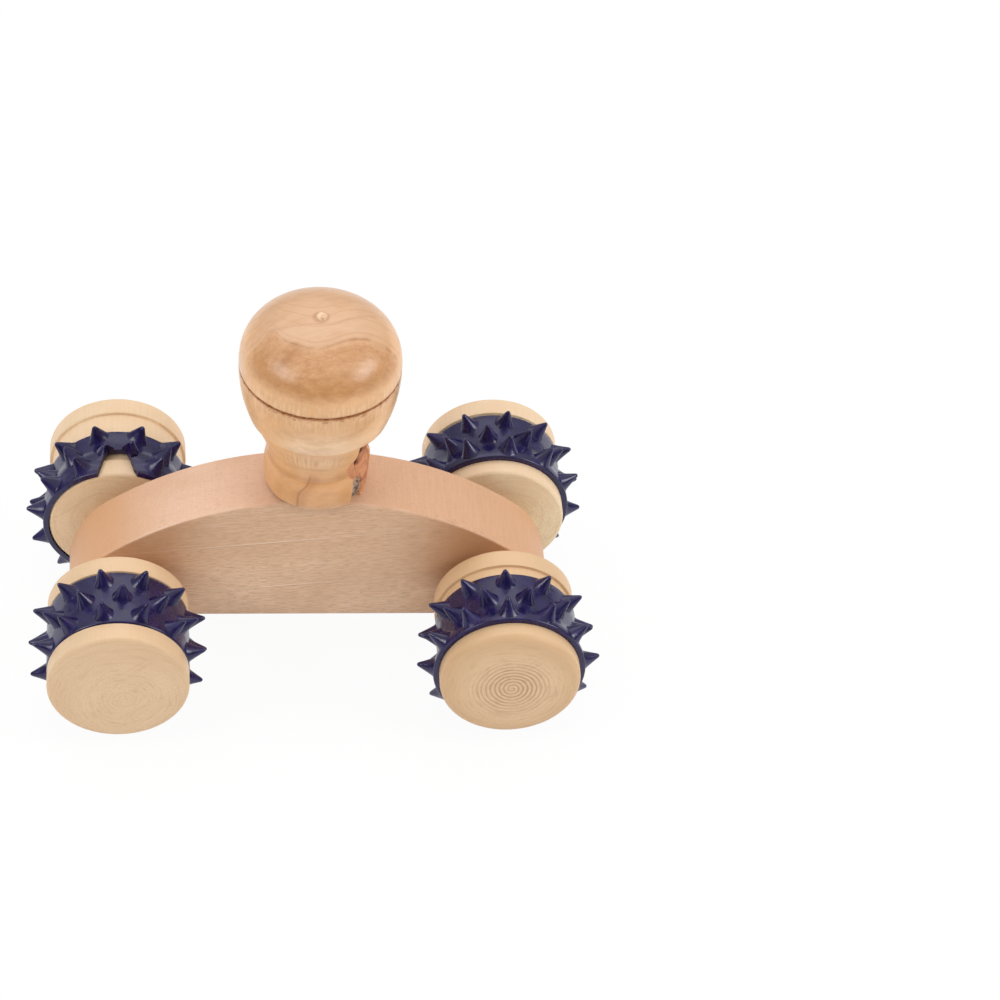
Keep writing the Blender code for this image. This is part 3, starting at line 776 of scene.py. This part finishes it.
def knob_outline():
    """Blind dowel hole, bead foot, cove, flared neck, cup, V groove, flattened dome and lathe nub."""
    outline = [(KNOB_HOLE_DEPTH, 0), (KNOB_HOLE_DEPTH, KNOB_HOLE_RADIUS), (0, KNOB_HOLE_RADIUS)]
    for height in spaced(0, 0.985 * KNOB_FOOT_HEIGHT, FOOT_STEPS):
        offset = 2 * height / KNOB_FOOT_HEIGHT - 1
        outline.append((height, KNOB_FOOT_RADIUS - KNOB_FOOT_BULGE * offset**4))
    for height in spaced(KNOB_FOOT_HEIGHT, COVE_TOP, COVE_STEPS):
        share = (height - KNOB_FOOT_HEIGHT) / (COVE_TOP - KNOB_FOOT_HEIGHT)
        outline.append((height, blend(COVE_RADIUS, COVE_TOP_RADIUS, share**2)))
    for height in spaced(FLARE_START, FLARE_TOP, FLARE_STEPS):
        share = (height - FLARE_START) / (FLARE_TOP - FLARE_START)
        outline.append((height, blend(FLARE_RADIUS, FLARE_TOP_RADIUS, share)))
    cup_end = KNOB_GROOVE_HEIGHT - KNOB_GROOVE_HALF
    for height in spaced(CUP_START, cup_end, CUP_STEPS):
        share = (height - CUP_START) / (cup_end - CUP_START)
        outline.append((height, blend(KNOB_RADIUS, CUP_RADIUS, (1 - share) ** 2)))
    floor = KNOB_RADIUS - KNOB_GROOVE_DEPTH
    outline.append((KNOB_GROOVE_HEIGHT - KNOB_GROOVE_HALF / 2, floor))
    outline.append((KNOB_GROOVE_HEIGHT + KNOB_GROOVE_HALF / 4, floor))
    dome_start = KNOB_GROOVE_HEIGHT + KNOB_GROOVE_HALF
    for step in range(DOME_STEPS):
        angle = math.pi / 2 * step / DOME_STEPS
        radius = KNOB_RADIUS * math.cos(angle) ** (2 / DOME_POWER)
        height = blend(dome_start, KNOB_HEIGHT, math.sin(angle) ** (2 / DOME_POWER))
        if radius > 1.3 * NUB_RADIUS:
            outline.append((height, radius))
    for tall, wide in NUB_OUTLINE:
        outline.append((KNOB_HEIGHT + tall * NUB_HEIGHT, wide * NUB_RADIUS))
    return outline


def along_line(points, value):
    """Value read off a line through (place, value) points."""
    for (low, first), (high, second) in zip(points, points[1:]):
        if low <= value <= high:
            return blend(first, second, (value - low) / (high - low))
    return points[0][1] if value < points[0][0] else points[-1][1]


def bark_shares(angle, height):
    """Shares of bark, grey pith and open crack at an angle and a height, in degrees and millimetres."""
    edge = along_line(BARK_EDGE, height)
    far_edge = along_line(BARK_FAR_EDGE, height)
    bark = smoothstep((angle - edge) / BARK_EDGE_FADE + 0.5) * smoothstep((far_edge - angle) / BARK_FAR_FADE)
    bark *= smoothstep((BARK_TOP - height) / BARK_TOP_FADE) * smoothstep(height / BARK_FOOT_FADE)
    pith_turn, pith_height = PITH_MIDDLE
    reach = ((angle - pith_turn) / PITH_HALF[0]) ** 2 + ((height - pith_height) / PITH_HALF[1]) ** 2
    pith = smoothstep((1.25 - reach) / 0.6)
    crack_low, crack_high = CRACK_LINE[0][0], CRACK_LINE[-1][0]
    share = min(1.0, max(0.0, (height - crack_low) / (crack_high - crack_low)))
    half = CRACK_HALF * (0.30 + 0.70 * math.sin(math.pi * share))
    crack = smoothstep(1.4 - abs(angle - along_line(CRACK_LINE, height)) / half)
    crack *= smoothstep((height - crack_low) / 1.2) * smoothstep((crack_high - height) / 0.8)
    return bark, pith, crack


def make_knob(material):
    shape = turned(knob_outline(), Z_AXIS, KNOB_STEPS)
    shares = []
    for point in shape.verts:
        radius, height = point.co.xy.length, point.co.z
        rough = value_noise.noise(point.co / LUMP_SIZE)
        angle = math.degrees(math.atan2(point.co.x, -point.co.y))
        in_hole = radius < 1.1 * KNOB_HOLE_RADIUS and height < 1.01 * KNOB_HOLE_DEPTH
        shares.append((0.0, 0.0, 0.0) if in_hole else bark_shares(angle, height / MM))
        if in_hole:
            continue
        if height > KNOB_HEIGHT:
            point.co.xy *= 1 + NUB_ROUGH * rough
            point.co.z += NUB_ROUGH * (height - KNOB_HEIGHT) * min(0.0, rough)
        elif radius > KNOB_HOLE_RADIUS:
            bark, pith, crack = shares[-1]
            depth = bark * (BARK_DEPTH + BARK_ROUGH * rough)
            depth += pith * (PITH_DEPTH + PITH_ROUGH * rough) + crack * CRACK_DEPTH
            point.co.xy *= 1 - depth / radius
            torn = math.exp(-(((height - COVE_TOP) / (FLARE_START - COVE_TOP)) ** 2))
            lip = math.exp(-(((height - KNOB_GROOVE_HEIGHT) / (2 * KNOB_GROOVE_HALF)) ** 2))
            point.co.z += (COVE_ROUGH * torn + GROOVE_ROUGH * lip) * rough
        point.co.x += blend(KNOB_FOOT_SHIFT, KNOB_TOP_SHIFT, height / KNOB_HEIGHT)
        saddle = max(0.0, 1 - height / KNOB_FOOT_HEIGHT) ** 2
        point.co.z -= saddle * (ARCH_RADIUS - math.sqrt(ARCH_RADIUS**2 - point.co.x**2))
    knob = add_piece("knob_turned", shape, Z_AXIS * KNOB_LOW.z, "carriage", ["knob"], material)
    for index, name in enumerate(("bark", "pith", "crack")):
        layer = knob.data.attributes.new(name, "FLOAT", "POINT")
        layer.data.foreach_set("value", [share[index] for share in shares])
    smooth(knob)


# Hubs

def groove_start(wheel):
    """Distance out at which the groove for the tyre starts."""
    return HUB_IN - wheel.reach + FLANGE_WIDTH


def tyre_span(name):
    """Distances out at which a tyre starts and ends."""
    start, end = sorted(abs(limit.y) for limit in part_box(f"{name}_tyre"))
    return start, end - SPLIT_EDGE_BACK if WHEELS[name].split else end


def hub_outline(name):
    """Blind axle hole, boss, rounded inner flange, drum and rounded outer flange."""
    wheel = WHEELS[name]
    outline = [(HUB_HOLE_END, 0), (HUB_HOLE_END, HUB_HOLE_RADIUS), (BOSS_END, HUB_HOLE_RADIUS)]
    hub_in = HUB_IN - wheel.reach
    outline += [(BOSS_END, BOSS_RADIUS), (hub_in, BOSS_RADIUS)]
    groove_in = groove_start(wheel)
    groove_corner = FLANGE_RADIUS - GROOVE_ROUND
    outline += corner(hub_in + FLANGE_ROUND, FLANGE_RADIUS - FLANGE_ROUND, FLANGE_ROUND, -90, 0)
    outline += corner(groove_in - GROOVE_ROUND, groove_corner, GROOVE_ROUND, 0, 90, 2)
    tyre_start, tyre_end = tyre_span(name)
    bare_in, bare_out = tyre_start - BARE_DRUM_GAP, tyre_end + BARE_DRUM_GAP
    if bare_in - groove_in > BARE_DRUM_LEAST:
        outline += [(groove_in, BARE_DRUM_RADIUS), (bare_in, BARE_DRUM_RADIUS), (bare_in, DRUM_RADIUS)]
    else:
        outline.append((groove_in, DRUM_RADIUS))
    if GROOVE_OUT - bare_out > BARE_DRUM_LEAST:
        outline += [(bare_out, DRUM_RADIUS), (bare_out, BARE_DRUM_RADIUS), (GROOVE_OUT, BARE_DRUM_RADIUS)]
    else:
        outline.append((GROOVE_OUT, DRUM_RADIUS))
    outline += corner(GROOVE_OUT + GROOVE_ROUND, groove_corner, GROOVE_ROUND, -90, 0, 2)
    edge = wheel.face_round
    outline += corner(HUB_OUT - edge, FLANGE_RADIUS - edge, edge, 0, 90, 8)
    outline.append((HUB_OUT, 0))
    return outline


def make_hub(name, material):
    wheel = WHEELS[name]
    shape = turned(hub_outline(name), Y_AXIS * wheel.side_y, TURNED_STEPS)
    place = AXLES[wheel.body]
    hub = add_piece(f"{name}_hub_turned", shape, place, wheel.body, [f"{name}_hub"], material)
    smooth(hub)


# Tyres

class Tyre:
    """One spiked tyre: where it lies on its hub, and its mesh."""

    def __init__(self, name):
        wheel = WHEELS[name]
        self.body, self.side_y = wheel.body, wheel.side_y
        self.turn, self.split = math.radians(wheel.turn), wheel.split
        self.groove_in = groove_start(wheel)
        self.start, self.end = tyre_span(name)
        low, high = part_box(f"{name}_tyre")
        self.middle = abs(low.y + high.y) / 2
        axle = AXLES[wheel.body]
        solid = frame["nodes"][f"{name}_tyre"].data.vertices
        self.limit = max((point.co - axle).xz.length for point in solid) - TIP_CLEARANCE
        self.points = {}
        self.shape = bmesh.new()
        self.chance = random.Random(name)

    def surface(self, out):
        """Radius of the outer surface, which steps smoothly onto a flange that the tyre has slipped over."""
        base = DRUM_RADIUS + TYRE_GAP + TYRE_THICKNESS
        rise = FLANGE_RADIUS - DRUM_RADIUS
        if self.start < self.groove_in:
            lip = self.groove_in + LIP_CLEARANCE
            return base + rise * smoothstep((lip + TYRE_RAMP - out) / TYRE_RAMP)
        if self.end > GROOVE_OUT:
            lip = GROOVE_OUT - LIP_CLEARANCE
            return base + rise * smoothstep((out - lip + TYRE_RAMP) / TYRE_RAMP)
        return base

    def opened(self, angle, out):
        """Angle after the seam has opened, which pushes the rubber away from the wheel's top."""
        if not self.split:
            return angle
        angle = math.remainder(angle, math.tau)
        share = (out - self.middle) / ROW_PITCH
        near, mid, far = SEAM_OPENING
        opening = blend(mid, far, share) if share > 0 else blend(mid, near, -share)
        push = max(0.0, opening) * (1 - abs(angle) / math.pi) * smoothstep(abs(angle) / SEAM_EASE)
        return angle + math.copysign(push, angle)

    def place(self, angle, out, height=0.0, slope=0.0):
        """Point at a height over the outer surface, leaning with the surface's slope."""
        angle = self.opened(angle, out)
        radius = min(self.limit, self.surface(out) + height * math.cos(slope))
        out -= height * math.sin(slope)
        return Vector((radius * math.sin(angle), self.side_y * out, radius * math.cos(angle)))

    def shared(self, angle, out):
        """Corner or edge point of a cell, made once for all the cells that meet there."""
        turn = round(math.degrees(angle - self.turn) * 100) % 36000
        key = (turn, round(out / MM * 1000))
        if key not in self.points:
            self.points[key] = self.shape.verts.new(self.place(angle, out))
        return self.points[key]

    def cell(self, angle, out, low, high, spike):
        """Patch of the band round one spike, from the cell's border up to the tip."""
        half = math.pi / SPIKES_PER_ROW
        corners = ((-half, low), (half, low), (half, high), (-half, high), (-half, low))
        border = []
        for side, ((first, near), (second, far)) in enumerate(zip(corners, corners[1:])):
            steps = CELL_STEPS_ALONG if side % 2 else CELL_STEPS_ROUND
            for step in range(steps):
                share = step / steps
                border.append((blend(first, second, share), blend(near, far, share)))
        ring = [self.shared(angle + offset, along) for offset, along in border]

        base = self.surface(out)
        foot = SPIKE_OUTLINE[0][0]
        slope = math.atan2(self.surface(out + foot) - self.surface(out - foot), 2 * foot)
        lean_round = self.chance.uniform(-SPIKE_LEAN, SPIKE_LEAN)
        lean_along = self.chance.uniform(-SPIKE_LEAN, SPIKE_LEAN)
        tall = self.chance.uniform(SPIKE_LEAST, 1.0)
        directions = []
        for offset, along in border:
            across = Vector((offset * base, along - out))
            directions.append(across.normalized())
        for radius, height in SPIKE_OUTLINE:
            height = height * tall if spike else 0.0
            upper = []
            for direction in directions:
                turn = (direction.x * radius + lean_round * height) / (base + height)
                along = direction.y * radius + lean_along * height
                upper.append(self.shape.verts.new(self.place(angle + turn, out + along, height, slope)))
            bridge(self.shape, ring, upper)
            ring = upper
        height = SPIKE_HEIGHT * tall if spike else 0.0
        turn = lean_round * height / (base + height)
        tip = self.shape.verts.new(self.place(angle + turn, out + lean_along * height, height, slope))
        for index, point in enumerate(ring):
            self.shape.faces.new((point, ring[(index + 1) % len(ring)], tip))

    def ring(self, out, depth):
        """Ring of points at a depth under the outer surface."""
        count = SPIKES_PER_ROW * CELL_STEPS_ROUND
        angles = [self.turn + math.tau * step / count for step in range(count)]
        if depth == 0:
            return [self.shared(angle, out) for angle in angles]
        return [self.shape.verts.new(self.place(angle, out, -depth)) for angle in angles]

    def build(self):
        """Outer cells, rounded edges and the inside that lies on the hub."""
        step = math.tau / SPIKES_PER_ROW
        first, last = self.start + TYRE_EDGE, self.end - TYRE_EDGE
        borders = (first, self.middle - ROW_PITCH / 2, self.middle + ROW_PITCH / 2, last)
        for row in range(ROWS):
            out = self.middle + (row - 1) * ROW_PITCH
            for count in range(SPIKES_PER_ROW):
                angle = self.turn + (count + (0.5 if row == 1 else 0.0)) * step
                on_seam = self.split and abs(math.remainder(angle, math.tau)) < math.radians(1)
                self.cell(angle, out, borders[row], borders[row + 1], not on_seam)
        edge = [(TYRE_EDGE * math.sin(turn), TYRE_EDGE * (1 - math.cos(turn))) for turn in TYRE_EDGE_TURNS]
        rings = [self.ring(first, 0)]
        rings += [self.ring(first - along, depth) for along, depth in edge]
        rings += [self.ring(out, TYRE_THICKNESS) for out in spaced(self.start, self.end, INSIDE_STEPS)]
        rings += [self.ring(last + along, depth) for along, depth in reversed(edge)]
        rings.append(self.ring(last, 0))
        for lower, upper in zip(rings, rings[1:]):
            bridge(self.shape, lower, upper)
        return self.shape

    def half_spike(self, angle, tall):
        """Closed cone at the seam, where the cut runs through a spike."""
        outline = [(-HALF_SPIKE_ROOT, 0), (-HALF_SPIKE_ROOT, SPIKE_OUTLINE[1][0])]
        outline += [(height * tall, radius) for radius, height in SPIKE_OUTLINE[1:]]
        outline.append((SPIKE_HEIGHT * tall, 0))
        shape = turned(outline, Z_AXIS, HALF_SPIKE_STEPS)
        out = self.middle - HALF_SPIKE_BACK
        radial = Vector((math.sin(angle), 0, math.cos(angle)))
        turn = radial.to_track_quat("Z", "Y").to_matrix().to_4x4()
        foot = radial * self.surface(out) + Y_AXIS * self.side_y * out
        bmesh.ops.transform(shape, matrix=Matrix.Translation(foot) @ turn, verts=shape.verts)
        return shape

    def seam_gap(self):
        """Wedge that opens the seam: wide at the tyre's inner edge, blunt at its floor."""
        beyond = 1.0 * MM
        mouth = SEAM_MOUTH + (SEAM_MOUTH - SEAM_FLOOR) * beyond / SEAM_DEPTH
        first, floor = self.start - beyond, self.start + SEAM_DEPTH
        corners = ((-mouth, first), (mouth, first), (SEAM_FLOOR, floor), (-SEAM_FLOOR, floor))
        shape = bmesh.new()
        rings = []
        for radius in (DRUM_RADIUS - TYRE_THICKNESS, FLANGE_RADIUS + 2 * SPIKE_HEIGHT):
            ring = []
            for angle, out in corners:
                point = (radius * math.sin(angle), self.side_y * out, radius * math.cos(angle))
                ring.append(shape.verts.new(point))
            rings.append(ring)
        inner, outer = rings
        shape.faces.new(inner)
        shape.faces.new(outer)
        bridge(shape, inner, outer)
        return shape


def make_tyre(name, material):
    tyre = Tyre(name)
    place = AXLES[tyre.body]
    nodes = [f"{name}_tyre"]
    piece = add_piece(f"{name}_tyre_spiked", tyre.build(), place, tyre.body, nodes, material)
    if tyre.split:
        tools = []
        for angle, tall in HALF_SPIKES:
            tools.append(add_object(f"half_spike_{len(tools)}", tyre.half_spike(angle, tall), place))
            add_boolean(piece, "UNION", tools[-1])
        tools.append(add_object("seam_gap", tyre.seam_gap(), place))
        add_boolean(piece, "DIFFERENCE", tools[-1])
        bake(piece, tools)
    smooth(piece)


# Studio

def make_floor():
    """Pale floor that keeps a soft shadow and looks almost white to the camera."""
    shape = bmesh.new()
    bmesh.ops.create_circle(shape, cap_ends=True, segments=96, radius=FLOOR_RADIUS)
    floor = add_object("floor", shape, Vector())
    mat = Material("floor_white")
    mat.feed(mat.shader.inputs["Base Color"], FLOOR_TONE)
    mat.feed(mat.shader.inputs["Roughness"], 0.9)
    glow = mat.add("ShaderNodeEmission", {"Color": WHITE, "Strength": 1.0})
    light_path = mat.add("ShaderNodeLightPath").outputs
    seen = mat.calc("ADD", light_path["Is Camera Ray"], light_path["Is Glossy Ray"])
    seen = mat.calc("ADD", seen, light_path["Is Transmission Ray"], clamp=True)
    both = mat.add("ShaderNodeMixShader", {"Fac": mat.times(seen, FLOOR_GLOW)})
    mat.feed(both.inputs[1], mat.shader.outputs[0])
    mat.feed(both.inputs[2], glow.outputs[0])
    mat.feed(mat.tree.nodes["Material Output"].inputs["Surface"], both.outputs[0])
    floor.data.materials.append(mat.material)


def make_world():
    """Soft white light from overhead and behind, with a dim room in front."""
    world = bpy.data.worlds.new("studio")
    world.use_nodes = True
    nodes = Nodes(world.node_tree)
    background = nodes.tree.nodes["Background"].inputs
    _, away, above = nodes.axes(nodes.add("ShaderNodeTexCoord").outputs["Generated"])
    towards = nodes.times(above, math.cos(OVERHEAD_TILT))
    towards = nodes.mul_add(away, math.sin(OVERHEAD_TILT), towards)
    nodes.feed(background["Color"], WHITE)
    nodes.feed(background["Strength"], nodes.ramp(towards, 0.1, 0.8, ROOM_LIGHT, OVERHEAD_LIGHT))
    bpy.context.scene.world = world


def direction(turn, rise):
    """Unit vector at a turn from the front towards +X and at a height angle."""
    return Vector((math.sin(turn) * math.cos(rise), -math.cos(turn) * math.cos(rise), math.sin(rise)))


def add_softbox(name):
    turn, rise, width, height, power = SOFTBOXES[name]
    light = bpy.data.lights.new(name, "AREA")
    light.shape = "RECTANGLE"
    light.size, light.size_y = width, height
    light.energy = power
    lamp = link_object(name, light)
    out = direction(math.radians(turn), math.radians(rise))
    lamp.location = out * SOFTBOX_DISTANCE + Z_AXIS * AXLE_HEIGHT
    lamp.rotation_euler = out.to_track_quat("Z", "Y").to_euler()


def make_camera():
    """Camera at the photograph's angle: behind the target by its distance, then rolled."""
    back = direction(CAMERA_AZIMUTH, CAMERA_ELEVATION)
    right = (-back).cross(Z_AXIS).normalized()
    up = right.cross(-back)
    rolled_right = right * math.cos(CAMERA_ROLL) + up * math.sin(CAMERA_ROLL)
    rolled_up = up * math.cos(CAMERA_ROLL) - right * math.sin(CAMERA_ROLL)
    data = bpy.data.cameras.new("camera")
    data.sensor_width = CAMERA_SENSOR_MM
    data.lens = CAMERA_LENS_MM
    camera = link_object("camera", data)
    matrix = Matrix((rolled_right, rolled_up, back)).transposed().to_4x4()
    matrix.translation = CAMERA_TARGET + back * CAMERA_DISTANCE
    camera.matrix_world = matrix
    bpy.context.scene.camera = camera


def main():
    make_block(block_material())
    make_knob(knob_material())
    rubber = rubber_material()
    for name in WHEELS:
        make_hub(name, hub_material(name))
        make_tyre(name, rubber)
    dowel_wood = dowel_material()
    for name in ("left_axle", "right_axle", "knob_dowel"):
        node = frame["nodes"][name]
        node.data.materials.clear()
        node.data.materials.append(dowel_wood)

    make_floor()
    make_world()
    for name in SOFTBOXES:
        add_softbox(name)
    make_camera()
    bpy.context.scene.view_settings.view_transform = "Standard"


main()
